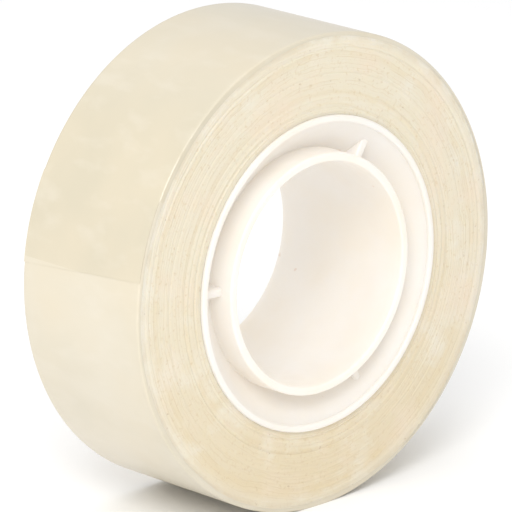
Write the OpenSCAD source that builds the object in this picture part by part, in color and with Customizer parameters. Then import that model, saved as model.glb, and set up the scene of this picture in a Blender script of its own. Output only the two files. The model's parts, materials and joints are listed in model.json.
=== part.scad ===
// A roll of clear adhesive tape on a one-piece moulded core.
// The roll stands on its rim. Its axis is Y and its front face looks to -Y.
// The origin is the middle of the bore, halfway across the roll.
// Inside each module the roll lies flat: local +Z is the front, and an angle runs
// from +X towards local +Y, which stand_up() turns into +Z.

/* [Tape] */
// Outside diameter of the full roll
roll_d = 55.8; // [48:0.2:70]
// Width of the tape
tape_w = 19; // [12:0.5:25]
// Thickness that one turn of film is modelled with
film_t = 0.2; // [0.16:0.02:0.4]
// Angle where the free end of the tape is cut
end_angle = 172; // [150:1:230]
// Length of the free end, along the roll, that peels up
flap_len = 10; // [6:0.5:16]

/* [Core] */
// Outside diameter of the drum that the tape is wound on
drum_d = 36.8; // [34:0.2:42]
// Diameter of the bore that goes over a spindle
bore_d = 26.2; // [24:0.1:28]
// Thickness of the drum
drum_wall = 0.8; // [0.7:0.1:1.4]
// Thickness of the bore ring
ring_wall = 1; // [0.8:0.1:1.4]
// How far each rim of the core stands out of the tape's side
core_proud = 0.45; // [0.2:0.05:1]

/* [Web] */
// Thickness of the dished web between the drum and the bore ring
web_t = 1.2; // [0.8:0.1:1.6]
// How far below the front rims the web meets the drum
dish_top = 0.5; // [0.4:0.1:2]
// How far below the front rims the web meets the bore ring
dish_foot = 3.6; // [2.5:0.1:6]

/* [Ribs] */
// Number of ribs on each side of the web
rib_count = 3; // [3:1:8]
// Thickness of a rib
rib_t = 1; // [0.6:0.1:1.4]
// How far the ribs stop short of the rims
rib_setback = 1.6; // [0.6:0.1:2]
// Angle of the first rib
rib_angle = 58; // [0:1:59]

/* [Hidden] */
$fn = 96;

roll_r = roll_d / 2;
drum_r = drum_d / 2;
bore_r = bore_d / 2;
core_half = tape_w / 2 + core_proud;  // from the middle of the roll to a rim of the core
rim_round = 0.28;                     // rounding of the rims' edges
bite = 0.3;                           // how far the web and ribs run into the walls
ring_x = bore_r + ring_wall;          // outside of the bore ring
drum_x = drum_r - drum_wall;          // inside of the drum
web_slope = atan((dish_foot - dish_top) / (drum_x - ring_x));
web_drop = web_t / cos(web_slope);    // height of the web, measured along the roll's axis

pack_r = roll_r - 2 * film_t;         // outside of the wound pack, under the last turns
flap_t = 0.6 * film_t;                // the free end is thinner than its recess
recess_r = roll_r - 1.2 * film_t;     // floor of the recess under the free end
flap_root = end_angle - flap_len / roll_r * 180 / PI;
end_gap = 0.12 / roll_r * 180 / PI;   // clearance at each end of the recess

core_white = [0.96, 0.95, 0.92];
tape_cream = [0.93, 0.87, 0.74];
film_clear = [0.94, 0.90, 0.80];

// Turns a flat-lying roll up onto its rim, with its front to -Y
module stand_up() {
    rotate([90, 0, 0]) children();
}

// Section of a tubular wall with rounded edges: x is the radius, y the height
module wall_section(inner, outer) {
    translate([inner + rim_round, -core_half])
        square([outer - inner - 2 * rim_round, 2 * core_half]);
    translate([inner, rim_round - core_half])
        square([outer - inner, 2 * (core_half - rim_round)]);
    for (x = [inner + rim_round, outer - rim_round], side = [-1, 1])
        translate([x, side * (core_half - rim_round)]) circle(r = rim_round);
}

// Section of the web: a dish that falls from the drum towards the bore ring
module web_section() {
    top = core_half - dish_top;
    foot = core_half - dish_foot;
    polygon([
        [ring_x - bite, foot], [ring_x, foot], [drum_x, top], [drum_x + bite, top],
        [drum_x + bite, top - web_drop], [drum_x, top - web_drop],
        [ring_x, foot - web_drop], [ring_x - bite, foot - web_drop]
    ]);
}

// One straight rib, through the web, from the bore ring to the drum
module rib() {
    height = 2 * (core_half - rib_setback);
    translate([ring_x - bite, -rib_t / 2, -height / 2])
        cube([drum_x - ring_x + 2 * bite, rib_t, height]);
}

// A band between two radii, from one angle to another, as wide as the tape
module band(inner, outer, from, to) {
    rotate([0, 0, from])
        rotate_extrude(angle = to - from, $fn = 180)
            translate([inner, -tape_w / 2]) square([outer - inner, tape_w]);
}

// Outline of the last turn, whose radius grows by one film over the full turn.
// Each half turn is an arc whose centre is moved by a quarter of a film.
module last_turn_outline() {
    base_r = roll_r - film_t;
    rotate(end_angle) {
        intersection() {
            translate([-film_t / 4, 0]) circle(r = base_r + film_t / 4, $fn = 180);
            translate([-roll_d, 0]) square([2 * roll_d, roll_d]);
        }
        intersection() {
            translate([film_t / 4, 0]) circle(r = base_r + 3 * film_t / 4, $fn = 180);
            translate([-roll_d, -roll_d]) square([2 * roll_d, roll_d]);
        }
    }
}

// The moulded core: drum, bore ring, dished web and ribs in one piece
module core() {
    color(core_white) stand_up() {
        rotate_extrude() {
            wall_section(bore_r, ring_x);
            wall_section(drum_x, drum_r);
            web_section();
        }
        for (i = [0 : rib_count - 1])
            rotate([0, 0, rib_angle + i * 360 / rib_count]) rib();
    }
}

// The wound pack, from the drum out to the last two turns
module tape_windings() {
    color(tape_cream) stand_up() band(drum_r, pack_r, 0, 360);
}

// The last turn and the one under it, with the recess that the free end lies in
module outer_turn() {
    color(film_clear) stand_up() difference() {
        translate([0, 0, -tape_w / 2]) linear_extrude(tape_w) difference() {
            last_turn_outline();
            circle(r = pack_r, $fn = 180);
        }
        rotate([0, 0, flap_root - end_gap])
            rotate_extrude(angle = end_angle - flap_root + 2 * end_gap, $fn = 180)
                translate([recess_r, -tape_w]) square([2 * film_t, 2 * tape_w]);
    }
}

// The free end of the tape, which peels up about its root
module tape_end() {
    color(film_clear) stand_up() band(roll_r - flap_t, roll_r, flap_root, end_angle);
}

core();
tape_windings();
outer_turn();
tape_end();
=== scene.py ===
"""A roll of clear adhesive tape on a white moulded core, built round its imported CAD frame."""

import json
import math

import bmesh
import bpy
import numpy as np
from bpy.props import FloatProperty, FloatVectorProperty, IntProperty, PointerProperty
from mathutils import Matrix, Vector


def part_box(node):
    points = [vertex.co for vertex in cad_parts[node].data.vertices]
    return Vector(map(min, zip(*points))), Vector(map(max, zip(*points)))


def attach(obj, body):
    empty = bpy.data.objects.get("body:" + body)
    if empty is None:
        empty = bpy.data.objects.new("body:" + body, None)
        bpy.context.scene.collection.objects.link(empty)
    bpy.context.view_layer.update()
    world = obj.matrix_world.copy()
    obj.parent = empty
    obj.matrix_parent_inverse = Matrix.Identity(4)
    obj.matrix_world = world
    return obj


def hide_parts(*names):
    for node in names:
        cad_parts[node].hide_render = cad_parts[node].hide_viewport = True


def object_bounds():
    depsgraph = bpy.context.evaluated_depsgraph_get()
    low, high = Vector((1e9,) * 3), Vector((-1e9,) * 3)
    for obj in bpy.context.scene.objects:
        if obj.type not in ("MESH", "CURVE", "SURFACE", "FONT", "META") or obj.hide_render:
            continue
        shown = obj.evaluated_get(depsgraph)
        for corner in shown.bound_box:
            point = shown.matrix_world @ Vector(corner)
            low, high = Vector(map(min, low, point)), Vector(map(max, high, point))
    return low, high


bl_info = {
    "name": "Tape Roll",
    "version": (1, 0, 0),
    "blender": (4, 5, 0),
    "location": "View3D > Sidebar > Tape Roll",
    "description": "Builds a roll of clear adhesive tape on a ribbed moulded core",
    "category": "Add Mesh",
}

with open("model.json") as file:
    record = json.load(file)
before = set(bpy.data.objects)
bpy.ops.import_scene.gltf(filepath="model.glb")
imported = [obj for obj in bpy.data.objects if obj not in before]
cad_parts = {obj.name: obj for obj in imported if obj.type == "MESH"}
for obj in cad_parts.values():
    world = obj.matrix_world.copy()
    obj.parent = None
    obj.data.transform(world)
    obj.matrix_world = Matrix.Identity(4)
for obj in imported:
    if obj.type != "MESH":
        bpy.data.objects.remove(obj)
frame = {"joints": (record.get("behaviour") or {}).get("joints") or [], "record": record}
CAD_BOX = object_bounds()
MM = 0.001

# Sizes in millimetres, read from the frame
MOUNTS = {mount["name"]: mount for mount in frame["record"]["mounts"]}
CORE_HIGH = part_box("core")[1] / MM
PACK_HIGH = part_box("tape_windings")[1] / MM
END_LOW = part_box("tape_end")[0] / MM
PEEL = next(joint for joint in frame["joints"] if joint["name"] == "peel")
PEEL_LINE = Vector(PEEL["pos_m"]) / MM

BORE_R = MOUNTS["spindle_bore"]["dims"]["r_mm"]
DRUM_R = CORE_HIGH.x
CORE_HALF = CORE_HIGH.y
PACK_R = PACK_HIGH.x
TAPE_HALF = PACK_HIGH.y
LAST_TURNS = 0.4  # thickness of the last turns over the pack
ROLL_R = PACK_R + LAST_TURNS
END_ANGLE = math.atan2(END_LOW.z, END_LOW.x) % (2 * math.pi)
ROOT_ANGLE = math.atan2(PEEL_LINE.z, PEEL_LINE.x) % (2 * math.pi)

# Shapes of the core
RIM_ROUND = 0.28
FILLET = 0.3
RIB_ROUND = 0.3  # rounding of a rib's edges, as a part of its thickness
CORE_STEPS = 288
CORE_CREASE = 38  # degrees

# Shapes of the film
FILM_CREASE = 30  # degrees
EDGE_ROUND = 0.22
EDGE_ANGLES = np.radians([0, 30, 60, 90])
FLAT_MARGIN = 0.6  # from the tape's edge to the first line of the flat part
FLAT_LINES = 24
SINK = 0.3  # how far the last turn's mesh reaches into the pack
COVERED_STEPS = 20
ROOT_GAP = 1e-5  # in turns, so that the step at the peel line is sharp
END_SLANT = math.radians(1.5)  # the cut isn't quite square
END_GRID = (24, 28)  # along and across the free end
END_MARGIN = 0.05
END_THICKNESS = 0.8  # as a part of the film's

# Stage
FLOOR_SIZE = 2.0
WORLD_STRENGTH = 0.78
SENSOR = 36
LENS_SHIFT = (-0.0085, 0.0015)
CLIP_END = 20


# ---------------------------------------------------------------- settings


class CoreSettings(bpy.types.PropertyGroup):
    """Sizes and colour of the moulded core."""

    drum_wall: FloatProperty(
        name="Drum wall", description="Thickness of the drum, in mm",
        default=0.8, min=0.7, max=1.4)
    ring_wall: FloatProperty(
        name="Ring wall", description="Thickness of the bore ring, in mm",
        default=1.0, min=0.8, max=1.4)
    web: FloatProperty(
        name="Web", description="Thickness of the dished web, in mm",
        default=1.2, min=0.8, max=1.6)
    dish_top: FloatProperty(
        name="Dish top", description="Where the web meets the drum, in mm below the rims",
        default=0.5, min=0.4, max=2.0)
    dish_foot: FloatProperty(
        name="Dish foot", description="Where the web meets the ring, in mm below the rims",
        default=3.6, min=2.5, max=6.0)
    ribs: IntProperty(
        name="Ribs", description="Number of ribs on each side of the web",
        default=3, min=3, max=8)
    rib_thickness: FloatProperty(
        name="Rib thickness", description="Thickness of a rib, in mm",
        default=1.0, min=0.6, max=1.4)
    rib_setback: FloatProperty(
        name="Rib setback", description="How far the ribs stop short of the rims, in mm",
        default=1.6, min=0.6, max=2.0)
    rib_angle: FloatProperty(
        name="First rib", description="Angle of the first rib",
        default=math.radians(58), subtype="ANGLE")
    colour: FloatVectorProperty(
        name="Plastic", description="Colour of the moulded plastic",
        default=(0.66, 0.635, 0.60), size=3, min=0, max=1, subtype="COLOR")


class TapeSettings(bpy.types.PropertyGroup):
    """Sizes and colours of the wound tape."""

    rings: IntProperty(
        name="Rings", description="Rings of the mesh across the side of the pack",
        default=120, min=20, max=300)
    steps: IntProperty(
        name="Steps", description="Steps of the mesh round the roll",
        default=288, min=48, max=720)
    film: FloatProperty(
        name="Film", description="Thickness of the film that is seen, in mm",
        default=0.04, min=0.03, max=0.2)
    side_colour: FloatVectorProperty(
        name="Side", description="Colour of the tape's side",
        default=(0.72, 0.655, 0.515), size=3, min=0, max=1, subtype="COLOR")
    film_colour: FloatVectorProperty(
        name="Film colour", description="Colour of the film over the pack",
        default=(0.64, 0.585, 0.47), size=3, min=0, max=1, subtype="COLOR")


class StageSettings(bpy.types.PropertyGroup):
    """Floor, light and camera."""

    distance: FloatProperty(
        name="Camera distance", description="From the middle of the roll to the camera",
        default=0.606, min=0.3, max=2.0, subtype="DISTANCE", unit="LENGTH")
    azimuth: FloatProperty(
        name="Azimuth", description="Direction of the camera round the roll",
        default=math.radians(-44.0), subtype="ANGLE")
    elevation: FloatProperty(
        name="Elevation", description="Height of the camera above the horizon",
        default=math.radians(16.5), subtype="ANGLE")
    lens: FloatProperty(
        name="Lens", description="Focal length in mm", default=372, min=50, max=800)
    floor_colour: FloatVectorProperty(
        name="Floor", description="Colour of the floor",
        default=(0.97, 0.97, 0.97), size=3, min=0, max=1, subtype="COLOR")


# ---------------------------------------------------------------- mesh helpers


def arc(centre, radius, start, end, steps):
    """Points of an arc in a section, with angles in degrees."""
    angles = np.radians(np.linspace(start, end, steps + 1))
    return [(centre[0] + radius * math.cos(a), centre[1] + radius * math.sin(a)) for a in angles]


def grid_faces(rows, columns, close_rows, close_columns):
    """Quads of a grid of points that is numbered row by row."""
    faces = []
    for i in range(rows if close_rows else rows - 1):
        for j in range(columns if close_columns else columns - 1):
            a, b = i * columns + j, i * columns + (j + 1) % columns
            c, d = ((i + 1) % rows) * columns + (j + 1) % columns, ((i + 1) % rows) * columns + j
            faces.append((a, b, c, d))
    return faces


def to_mesh(name, points_mm, faces):
    """A smooth mesh from points in millimetres."""
    mesh = bpy.data.meshes.new(name)
    mesh.from_pydata((np.asarray(points_mm) * MM).tolist(), [], faces)
    mesh.validate()
    mesh.polygons.foreach_set("use_smooth", [True] * len(mesh.polygons))
    mesh.update()
    return mesh


def new_piece(name, mesh, body, replaced, material):
    """Links a mesh as a piece that stands for CAD nodes and rides on their body."""
    piece = bpy.data.objects.new(name, mesh)
    bpy.context.scene.collection.objects.link(piece)
    piece.data.materials.append(material)
    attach(piece, body)
    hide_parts(*replaced)
    return piece


def face_outwards(mesh):
    """Turns all faces outwards."""
    work = bmesh.new()
    work.from_mesh(mesh)
    bmesh.ops.recalc_face_normals(work, faces=work.faces)
    work.to_mesh(mesh)
    work.free()


def crease(mesh, degrees):
    """Marks the edges sharper than an angle, so that smooth shading stops there."""
    mesh.set_sharp_from_angle(angle=math.radians(degrees))


def turned(section, steps):
    """Points of a closed section, given as radius and y, turned round the Y axis."""
    radius, y = np.array(section).T
    angles = np.linspace(0, 2 * math.pi, steps, endpoint=False)[:, None]
    across = np.broadcast_to(y, (steps, len(y)))
    return np.stack([radius * np.cos(angles), across, radius * np.sin(angles)], -1).reshape(-1, 3)


def ripple(radius, angle, seed, waves, finest, coarsest):
    """Uneven rings: a sum of waves in radius whose phases drift round the roll."""
    rng = np.random.default_rng(seed)
    total = np.zeros(np.broadcast(radius, angle).shape)
    for _ in range(waves):
        length = finest * (coarsest / finest) ** rng.random()
        turns = rng.integers(1, 6)
        drift = rng.uniform(0.3, 1.2) * np.cos(turns * angle + rng.uniform(0, 2 * math.pi))
        swell = 0.6 + 0.4 * np.cos(rng.integers(1, 4) * angle + rng.uniform(0, 2 * math.pi))
        total += swell * np.cos(2 * math.pi * radius / length + drift + rng.uniform(0, 6.3))
    return total / math.sqrt(waves)


# ---------------------------------------------------------------- materials

# Where tones change: radii and heights in metres, angles in radians
PALE_EDGE = (0.0258, 0.0266)
WORN_EDGE = (0.0262, 0.0276)
AMBER_HEIGHTS = (0.004, -0.027)
STRETCH_START = (1.8, 2.4)
DUST = (0.42, 0.31, 0.20)
SPECK = (0.55, 0.42, 0.34)


def tint(colour, factors):
    """A colour with its red, green and blue scaled, and none of them above 1."""
    return tuple(min(1.0, c * f) for c, f in zip(colour, factors))


class Shader:
    """A material's node tree, with short calls to add and join nodes."""

    def __init__(self, name):
        self.material = bpy.data.materials.new(name)
        self.material.use_nodes = True
        self.tree = self.material.node_tree
        self.surface = self.tree.nodes["Principled BSDF"]
        self.place = self.add("ShaderNodeTexCoord").outputs["Object"]

    def add(self, kind, **settings):
        node = self.tree.nodes.new(kind)
        for key, value in settings.items():
            if key in node.inputs:
                node.inputs[key].default_value = value
            else:
                setattr(node, key, value)
        return node

    def join(self, source, target):
        self.tree.links.new(source, target)

    def math(self, operation, *values):
        node = self.add("ShaderNodeMath", operation=operation)
        for socket, value in zip(node.inputs, values):
            if isinstance(value, (int, float)):
                socket.default_value = value
            else:
                self.join(value, socket)
        return node.outputs[0]

    def axes(self):
        """Sockets of the place's X, Y and Z, in metres from the middle of the roll."""
        split = self.add("ShaderNodeSeparateXYZ")
        self.join(self.place, split.inputs[0])
        return split.outputs

    def radius(self):
        """Distance from the roll's axis, in metres."""
        x, _, z = self.axes()
        return self.math("SQRT", self.math("ADD", self.math("POWER", x, 2.0),
                                           self.math("POWER", z, 2.0)))

    def angle(self):
        """Angle round the roll, from +X towards +Z, in radians."""
        x, _, z = self.axes()
        return self.math("ARCTAN2", z, x)

    def noise(self, scale, detail=2.0, vector=None, roughness=0.5):
        node = self.add("ShaderNodeTexNoise")
        node.inputs["Scale"].default_value = scale
        node.inputs["Detail"].default_value = detail
        node.inputs["Roughness"].default_value = roughness
        self.join(vector or self.place, node.inputs["Vector"])
        return node.outputs["Fac"]

    def span(self, value, low, high, to_low=0.0, to_high=1.0):
        node = self.add("ShaderNodeMapRange")
        for socket, number in zip(list(node.inputs)[1:5], (low, high, to_low, to_high)):
            socket.default_value = number
        self.join(value, node.inputs["Value"])
        return node.outputs["Result"]

    def blend(self, factor, first, second):
        node = self.add("ShaderNodeMix", data_type="RGBA")
        colours = [s for s in node.inputs if s.type == "RGBA"]
        self.feed(factor, next(s for s in node.inputs if s.name == "Factor" and s.type == "VALUE"))
        self.feed(first, colours[0])
        self.feed(second, colours[1])
        return next(s for s in node.outputs if s.type == "RGBA")

    def feed(self, value, socket):
        if isinstance(value, (int, float)):
            socket.default_value = value
        elif isinstance(value, (tuple, list)):
            socket.default_value = (*value, 1.0)
        else:
            self.join(value, socket)

    def bump(self, height, distance, strength=1.0):
        node = self.add("ShaderNodeBump")
        node.inputs["Strength"].default_value = strength
        node.inputs["Distance"].default_value = distance
        self.join(height, node.inputs["Height"])
        self.join(node.outputs["Normal"], self.surface.inputs["Normal"])

    def settings(self, **values):
        for key, value in values.items():
            self.surface.inputs[key.replace("_", " ")].default_value = value


def core_plastic(settings):
    """White, slightly translucent moulded plastic with a satin finish, a few specks and a faint
    painted glow.
    """
    shader = Shader("core_plastic")
    colour = tuple(settings.colour)
    warm = tint(colour, (0.985, 0.955, 0.90))
    cloud = shader.noise(110, 3)
    tone = shader.blend(shader.span(cloud, 0.4, 0.68), colour, warm)
    speck = shader.noise(700, 1)
    tone = shader.blend(shader.span(speck, 0.80, 0.84, 0.0, 0.6), tone, SPECK)
    shader.join(tone, shader.surface.inputs["Base Color"])
    shader.join(shader.span(shader.noise(900, 4), 0.3, 0.7, 0.30, 0.42),
                shader.surface.inputs["Roughness"])
    shader.bump(shader.noise(2600, 3), 0.00002, 0.5)
    # Painted glow: the emission stands in for light that passes through the translucent plastic
    # and brightens the deep pockets.
    shader.settings(Subsurface_Weight=0.5, Subsurface_Scale=0.003, IOR=1.49,
                    Emission_Color=(1.0, 0.93, 0.85, 1.0), Emission_Strength=0.18)
    shader.surface.inputs["Subsurface Radius"].default_value = (1.0, 0.88, 0.7)
    return shader.material


def tape_side(settings):
    """The side of the wound film: cream, translucent, with uneven rings of glue and dust."""
    shader = Shader("tape_side")
    base = tuple(settings.side_colour)
    amber = tint(base, (0.92, 0.82, 0.64))
    pale = tint(base, (1.04, 1.07, 1.15))
    glue = tint(base, (0.80, 0.68, 0.52))
    rose = tint(base, (1.03, 0.975, 0.97))
    radius = shader.radius()
    wander = shader.span(shader.noise(38, 2), 0.3, 0.7, -0.0007, 0.0007)
    waver = shader.span(shader.noise(260, 3), 0.3, 0.7, -0.00022, 0.00022)
    ring_place = shader.add("ShaderNodeCombineXYZ")
    shader.join(shader.math("ADD", shader.math("ADD", radius, wander), waver),
                ring_place.inputs["X"])
    fine = shader.noise(4200, 3, ring_place.outputs[0], 0.65)
    broad = shader.noise(900, 2, ring_place.outputs[0])
    patch = shader.noise(170, 4, roughness=0.6)
    breaks = shader.noise(420, 2)
    grain = shader.noise(2400, 2)
    # More amber towards the bottom of the roll, between the heights in AMBER_HEIGHTS.
    low = shader.span(shader.axes()["Z"], *AMBER_HEIGHTS, 0.0, 0.6)
    tone = shader.blend(low, base, amber)
    tone = shader.blend(shader.span(broad, 0.52, 0.70, 0.0, 0.3), tone, amber)
    tone = shader.blend(shader.span(patch, 0.5, 0.66, 0.0, 0.7), tone, pale)
    tone = shader.blend(shader.span(shader.noise(95, 3), 0.5, 0.66, 0.0, 0.8), tone, rose)
    tone = shader.blend(shader.span(grain, 0.58, 0.74, 0.0, 0.45), tone, glue)
    worn = shader.math("MULTIPLY", shader.span(fine, 0.54, 0.68), shader.span(breaks, 0.62, 0.46))
    tone = shader.blend(shader.math("MULTIPLY", worn, 0.65), tone, glue)
    edge = shader.span(radius, *PALE_EDGE, 0.0, 0.45)
    tone = shader.blend(edge, tone, pale)
    dust = shader.noise(1300, 2)
    tone = shader.blend(shader.span(dust, 0.73, 0.80, 0.0, 0.55), tone, DUST)
    rim = shader.math("MULTIPLY", shader.span(radius, *WORN_EDGE),
                      shader.span(patch, 0.56, 0.40))
    tone = shader.blend(shader.math("MULTIPLY", rim, 0.45), tone, glue)
    shader.join(tone, shader.surface.inputs["Base Color"])
    shader.join(shader.span(fine, 0.3, 0.7, 0.38, 0.55), shader.surface.inputs["Roughness"])
    shader.bump(fine, 0.00006, 0.7)
    shader.settings(Subsurface_Weight=0.5, Subsurface_Scale=0.0010, IOR=1.47)
    shader.surface.inputs["Subsurface Radius"].default_value = (1.0, 0.85, 0.6)
    return shader.material


def tape_film(settings, name, darker_until):
    """Glossy film over many turns, a shade deeper over the last stretch before its cut end."""
    shader = Shader(name)
    base = tuple(settings.film_colour)
    deep = tint(base, (0.89, 0.88, 0.83))
    pale = tint(base, (1.05, 1.06, 1.10))
    angle = shader.angle()
    # A shade darker from the angles in STRETCH_START up to the given end angle.
    last_stretch = shader.math("MULTIPLY", shader.span(angle, *STRETCH_START),
                             shader.math("LESS_THAN", angle, darker_until))
    stretch = shader.add("ShaderNodeMapping")
    stretch.inputs["Scale"].default_value = (1.0, 0.5, 1.0)
    shader.join(shader.place, stretch.inputs["Vector"])
    blotch = shader.noise(120, 4, stretch.outputs[0])
    cloud = shader.noise(420, 3, stretch.outputs[0])
    warm = tint(base, (1.0, 0.965, 0.90))
    tone = shader.blend(last_stretch, base, deep)
    tone = shader.blend(shader.span(blotch, 0.42, 0.62, 0.0, 0.4), tone, deep)
    tone = shader.blend(shader.span(shader.noise(75, 3), 0.42, 0.66, 0.0, 0.6), tone, warm)
    tone = shader.blend(shader.span(cloud, 0.52, 0.74, 0.0, 0.35), tone, pale)
    shader.join(tone, shader.surface.inputs["Base Color"])
    shader.join(shader.span(cloud, 0.3, 0.7, 0.32, 0.42), shader.surface.inputs["Roughness"])
    shader.bump(blotch, 0.00006, 0.1)
    shader.settings(IOR=1.47, Coat_Weight=0.35, Coat_Roughness=0.16)
    return shader.material


def floor_paint(settings):
    """Plain pale matt floor."""
    shader = Shader("floor_paint")
    colour = tuple(settings.floor_colour)
    shader.join(shader.blend(shader.noise(12, 2), colour, tuple(c * 0.995 for c in colour)),
                shader.surface.inputs["Base Color"])
    shader.settings(Roughness=0.9, IOR=1.3)
    return shader.material


# ---------------------------------------------------------------- the core


def rim(inner, outer, side):
    """Points of a rounded rim, from its outside to its inside; side is -1 at the front."""
    edge = CORE_HALF - RIM_ROUND
    points = arc((outer - RIM_ROUND, edge), RIM_ROUND, 0, 90, 5)
    points += arc((inner + RIM_ROUND, edge), RIM_ROUND, 90, 180, 5)
    return [(r, side * y) for r, y in points]


def fillet(corner, before, after, steps=4):
    """A rounded inner corner of a section, between two neighbouring points."""
    corner, before, after = (Vector(point) for point in (corner, before, after))
    start = corner + (before - corner).normalized() * FILLET
    end = corner + (after - corner).normalized() * FILLET
    spots = [i / steps for i in range(steps + 1)]
    return [tuple(start * (1 - t) ** 2 + corner * 2 * t * (1 - t) + end * t ** 2) for t in spots]


def core_section(settings):
    """The core's closed section as radius and y, with the front towards -y.

    The web is a dish: it starts just below the drum's front rim and falls towards the ring."""
    drum_in = DRUM_R - settings.drum_wall
    ring_out = BORE_R + settings.ring_wall
    top = settings.dish_top - CORE_HALF
    foot = settings.dish_foot - CORE_HALF
    drop = settings.web / math.cos(math.atan2(foot - top, drum_in - ring_out))
    section = [(DRUM_R, 0.0)]
    section += rim(drum_in, DRUM_R, -1)
    section += [(drum_in, top)]
    section += fillet((ring_out, foot), (drum_in, top), (ring_out, top))
    section += rim(BORE_R, ring_out, -1)
    section += [(BORE_R, 0.0)]
    section += rim(BORE_R, ring_out, 1)[::-1]
    section += [(ring_out, foot + drop)]
    section += fillet((drum_in, top + drop), (ring_out, foot + drop), (drum_in, CORE_HALF))
    section += rim(drum_in, DRUM_R, 1)[::-1]
    return section


def rib_mesh(work, angle, inner, outer, thickness, half_height):
    """Adds one rib with rounded front and back edges to a bmesh."""
    box = bmesh.ops.create_cube(work, size=1.0)["verts"]
    size = Matrix.Diagonal((outer - inner, 2 * half_height, thickness, 1))
    move = Matrix.Translation(((inner + outer) / 2, 0, 0))
    turn = Matrix.Rotation(-angle, 4, "Y")
    bmesh.ops.transform(work, matrix=move @ size, verts=box)
    edges = {edge for vert in box for edge in vert.link_edges
             if abs(edge.verts[0].co.x - edge.verts[1].co.x) > 0.5
             and abs(edge.verts[0].co.y) > half_height * 0.9}
    made = bmesh.ops.bevel(work, geom=list(edges), offset=RIB_ROUND * thickness, segments=4,
                           profile=0.5, affect="EDGES")["verts"]
    verts = {vert for vert in box if vert.is_valid} | set(made)
    bmesh.ops.transform(work, matrix=turn, verts=list(verts))


class TAPE_OT_core(bpy.types.Operator):
    """Build the moulded core: drum, bore ring, web and ribs"""

    bl_idname = "tape_roll.core"
    bl_label = "Core"

    def execute(self, context):
        settings = context.scene.tape_core
        section = core_section(settings)
        mesh = to_mesh("core_moulding", turned(section, CORE_STEPS),
                       grid_faces(CORE_STEPS, len(section), True, True))
        face_outwards(mesh)
        core = new_piece("core_moulding", mesh, "roll", ["core"],
                         core_plastic(settings))
        work = bmesh.new()
        for i in range(settings.ribs):
            rib_mesh(work, settings.rib_angle + i * 2 * math.pi / settings.ribs,
                     BORE_R + settings.ring_wall / 2, DRUM_R - settings.drum_wall / 2,
                     settings.rib_thickness, CORE_HALF - settings.rib_setback)
        bmesh.ops.scale(work, vec=(MM, MM, MM), verts=work.verts)
        ribs_mesh = bpy.data.meshes.new("ribs")
        work.to_mesh(ribs_mesh)
        work.free()
        face_outwards(ribs_mesh)
        ribs = bpy.data.objects.new("ribs", ribs_mesh)
        context.scene.collection.objects.link(ribs)
        join = core.modifiers.new("join_ribs", "BOOLEAN")
        join.operation = "UNION"
        join.solver = "EXACT"
        join.object = ribs
        shown = context.evaluated_depsgraph_get()
        joined = bpy.data.meshes.new_from_object(core.evaluated_get(shown))
        core.modifiers.clear()
        old = core.data
        core.data = joined
        bpy.data.meshes.remove(old)
        joined.name = "core_moulding"
        bpy.data.objects.remove(ribs)
        joined.polygons.foreach_set("use_smooth", [True] * len(joined.polygons))
        crease(joined, CORE_CREASE)
        core.modifiers.new("even_shading", "WEIGHTED_NORMAL").keep_sharp = True
        return {"FINISHED"}


# ---------------------------------------------------------------- the tape


def side_rise(radius, angle, seed):
    """How far the side of the pack stands out, in mm, at each radius and angle."""
    rings = 0.018 * ripple(radius, angle, seed, 18, 0.25, 0.9)
    sway = 0.035 * ripple(radius, angle, seed + 1, 4, 2.5, 6.0)
    inner_rows = np.exp(-((radius - DRUM_R - 1.2) / 1.3) ** 2)
    rings = rings * (1 + inner_rows)
    grooves = sum(
        depth * np.exp(-((radius - place - 0.05 * np.cos(2 * angle + phase)) / 0.07) ** 2)
        * (0.65 + 0.35 * np.cos(angle + phase))
        for place, depth, phase in ((DRUM_R + 0.9, 0.05, 0.4), (DRUM_R + 2.6, 0.08, 2.0),
                                    (DRUM_R + 4.8, 0.07, 4.0), (DRUM_R + 7.7, 0.09, 5.2)))
    return rings + sway - grooves


class TAPE_OT_windings(bpy.types.Operator):
    """Build the wound pack with the uneven rings of its sides"""

    bl_idname = "tape_roll.windings"
    bl_label = "Wound pack"

    def execute(self, context):
        settings = context.scene.tape_film
        steps, rings = settings.steps, settings.rings
        angles = np.linspace(0, 2 * math.pi, steps, endpoint=False)[:, None]
        radii = np.linspace(DRUM_R, PACK_R, rings)[None, :]
        front = -TAPE_HALF - side_rise(radii, angles, 3)
        back = TAPE_HALF + side_rise(radii, angles, 8)
        radius_all = np.concatenate([np.repeat(radii, steps, 0),
                                     np.repeat(radii[:, ::-1], steps, 0)], 1)
        y_all = np.concatenate([front, back[:, ::-1]], 1)
        points = np.stack([radius_all * np.cos(angles), y_all, radius_all * np.sin(angles)], -1)
        mesh = to_mesh("wound_tape", points.reshape(-1, 3),
                       grid_faces(steps, 2 * rings, True, True))
        face_outwards(mesh)
        new_piece("wound_tape", mesh, "roll", ["tape_windings"],
                  tape_side(settings))
        return {"FINISHED"}


def spiral_radius(turn, film):
    """Outside radius of the last turn: turn is 0 under the cut end and 1 at it."""
    return ROLL_R - film * (1 - turn)


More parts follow.
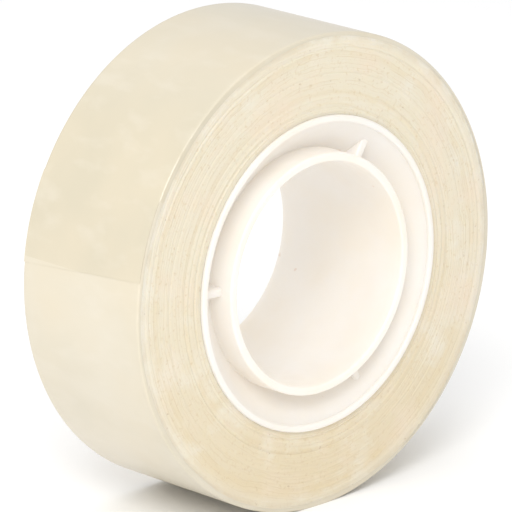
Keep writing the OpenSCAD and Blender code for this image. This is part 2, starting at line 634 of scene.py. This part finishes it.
class TAPE_OT_outer_turn(bpy.types.Operator):
    """Build the last turn of film round the pack"""

    bl_idname = "tape_roll.outer_turn"
    bl_label = "Last turn"

    def execute(self, context):
        settings = context.scene.tape_film
        full = 2 * math.pi
        free = (END_ANGLE - ROOT_ANGLE) / full
        covered = np.linspace(1 - free, 1, COVERED_STEPS, endpoint=False)
        turn = np.concatenate([np.linspace(0, 1 - free, settings.steps), covered + ROOT_GAP])
        steps = len(turn)
        angles = END_ANGLE + turn * full
        outer = spiral_radius(np.where(turn <= 1 - free, turn, 0.0), settings.film)
        inset = EDGE_ROUND * (1 - np.cos(EDGE_ANGLES))
        sunk = EDGE_ROUND * (1 - np.sin(EDGE_ANGLES))
        flat = TAPE_HALF - FLAT_MARGIN
        y_lines = np.concatenate([-TAPE_HALF + inset, np.linspace(-flat, flat, FLAT_LINES),
                                  TAPE_HALF - inset[::-1]])
        drop = np.concatenate([sunk, np.zeros(FLAT_LINES), sunk[::-1]])
        radius = outer[:, None] - drop[None, :]
        inner = np.full((steps, 2), PACK_R - SINK)
        radius_all = np.concatenate([radius, inner], 1)
        y_all = np.concatenate([np.broadcast_to(y_lines, radius.shape),
                                np.broadcast_to([TAPE_HALF, -TAPE_HALF], inner.shape)], 1)
        points = np.stack([radius_all * np.cos(angles)[:, None], y_all,
                           radius_all * np.sin(angles)[:, None]], -1)
        mesh = to_mesh("last_turn", points.reshape(-1, 3),
                       grid_faces(steps, radius_all.shape[1], True, True))
        face_outwards(mesh)
        crease(mesh, FILM_CREASE)
        new_piece("last_turn", mesh, "roll", ["outer_turn"],
                  tape_film(settings, "tape_film", ROOT_ANGLE))
        return {"FINISHED"}


class TAPE_OT_free_end(bpy.types.Operator):
    """Build the free end of the tape, which peels up"""

    bl_idname = "tape_roll.free_end"
    bl_label = "Free end"

    def execute(self, context):
        settings = context.scene.tape_film
        columns, rows = END_GRID
        across = np.linspace(-1, 1, rows)[None, :]
        along = np.linspace(0, 1, columns)[:, None]
        end = END_ANGLE + END_SLANT * across
        angles = ROOT_ANGLE + (end - ROOT_ANGLE) * along
        turn = 1 - (END_ANGLE - angles) / (2 * math.pi)
        outer = spiral_radius(np.minimum(turn, 1.0), settings.film)
        inner = outer - END_THICKNESS * settings.film
        y = (TAPE_HALF - END_MARGIN) * np.broadcast_to(across, outer.shape)

        def sheet(radius):
            return np.stack([radius * np.cos(angles), y, radius * np.sin(angles)], -1)

        points = np.concatenate([sheet(outer), sheet(inner)[:, ::-1]], 1).reshape(-1, 3)
        faces = grid_faces(columns, 2 * rows, False, True)
        faces.append(tuple(range(2 * rows)))
        faces.append(tuple((columns - 1) * 2 * rows + i for i in reversed(range(2 * rows))))
        mesh = to_mesh("free_end", points, faces)
        face_outwards(mesh)
        crease(mesh, FILM_CREASE)
        new_piece("free_end", mesh, "free_end", ["tape_end"],
                  tape_film(settings, "free_film", END_ANGLE))
        return {"FINISHED"}


# ---------------------------------------------------------------- the stage


def area_light(name, place, target, size, power):
    """A soft square light that looks at a point."""
    lamp = bpy.data.lights.new(name, "AREA")
    lamp.shape = "SQUARE"
    lamp.size = size
    lamp.energy = power
    light = bpy.data.objects.new(name, lamp)
    light.location = place
    light.rotation_euler = (Vector(target) - Vector(place)).to_track_quat("-Z", "Y").to_euler()
    bpy.context.scene.collection.objects.link(light)


class TAPE_OT_stage(bpy.types.Operator):
    """Make the floor, the lights and the camera"""

    bl_idname = "tape_roll.stage"
    bl_label = "Stage"

    def execute(self, context):
        settings = context.scene.tape_stage
        work = bmesh.new()
        bmesh.ops.create_grid(work, x_segments=8, y_segments=8, size=FLOOR_SIZE)
        mesh = bpy.data.meshes.new("floor")
        work.to_mesh(mesh)
        work.free()
        floor = bpy.data.objects.new("floor", mesh)
        floor.location.z = CAD_BOX[0][2]
        floor.data.materials.append(floor_paint(settings))
        context.scene.collection.objects.link(floor)

        area_light("key", (-0.38, -0.31, 0.40), (0, 0, 0), 0.30, 2.2)
        area_light("low", (-0.34, 0.02, 0.0), (0, 0, -0.01), 0.10, 0.10)
        area_light("top", (-0.05, 0.15, 0.60), (0, 0, 0), 0.45, 0.6)
        world = bpy.data.worlds.new("studio")
        world.use_nodes = True
        sky = world.node_tree.nodes["Background"]
        sky.inputs["Color"].default_value = (1, 1, 1, 1)
        sky.inputs["Strength"].default_value = WORLD_STRENGTH
        context.scene.world = world
        context.scene.view_settings.view_transform = "Standard"

        camera_data = bpy.data.cameras.new("camera")
        camera_data.lens = settings.lens
        camera_data.sensor_width = SENSOR
        camera_data.shift_x, camera_data.shift_y = LENS_SHIFT
        camera_data.clip_end = CLIP_END
        camera = bpy.data.objects.new("camera", camera_data)
        azimuth, elevation = settings.azimuth, settings.elevation
        direction = Vector((math.sin(azimuth) * math.cos(elevation),
                            -math.cos(azimuth) * math.cos(elevation), math.sin(elevation)))
        camera.location = settings.distance * direction
        camera.rotation_euler = (-direction).to_track_quat("-Z", "Y").to_euler()
        context.scene.collection.objects.link(camera)
        context.scene.camera = camera
        return {"FINISHED"}


# ---------------------------------------------------------------- panel and registration


OPERATORS = (TAPE_OT_core, TAPE_OT_windings, TAPE_OT_outer_turn, TAPE_OT_free_end, TAPE_OT_stage)


class TAPE_PT_panel(bpy.types.Panel):
    """Lists the pieces of the roll."""

    bl_idname = "TAPE_PT_panel"
    bl_label = "Tape Roll"
    bl_space_type = "VIEW_3D"
    bl_region_type = "UI"
    bl_category = "Tape Roll"

    def draw(self, context):
        for operator in OPERATORS:
            self.layout.operator(operator.bl_idname)


CLASSES = (CoreSettings, TapeSettings, StageSettings, *OPERATORS, TAPE_PT_panel)


def register():
    for cls in CLASSES:
        bpy.utils.register_class(cls)
    bpy.types.Scene.tape_core = PointerProperty(type=CoreSettings)
    bpy.types.Scene.tape_film = PointerProperty(type=TapeSettings)
    bpy.types.Scene.tape_stage = PointerProperty(type=StageSettings)


def unregister():
    del bpy.types.Scene.tape_stage
    del bpy.types.Scene.tape_film
    del bpy.types.Scene.tape_core
    for cls in reversed(CLASSES):
        bpy.utils.unregister_class(cls)


def main():
    register()
    bpy.ops.tape_roll.core()
    bpy.ops.tape_roll.windings()
    bpy.ops.tape_roll.outer_turn()
    bpy.ops.tape_roll.free_end()
    bpy.ops.tape_roll.stage()


if __name__ == "__main__":
    main()
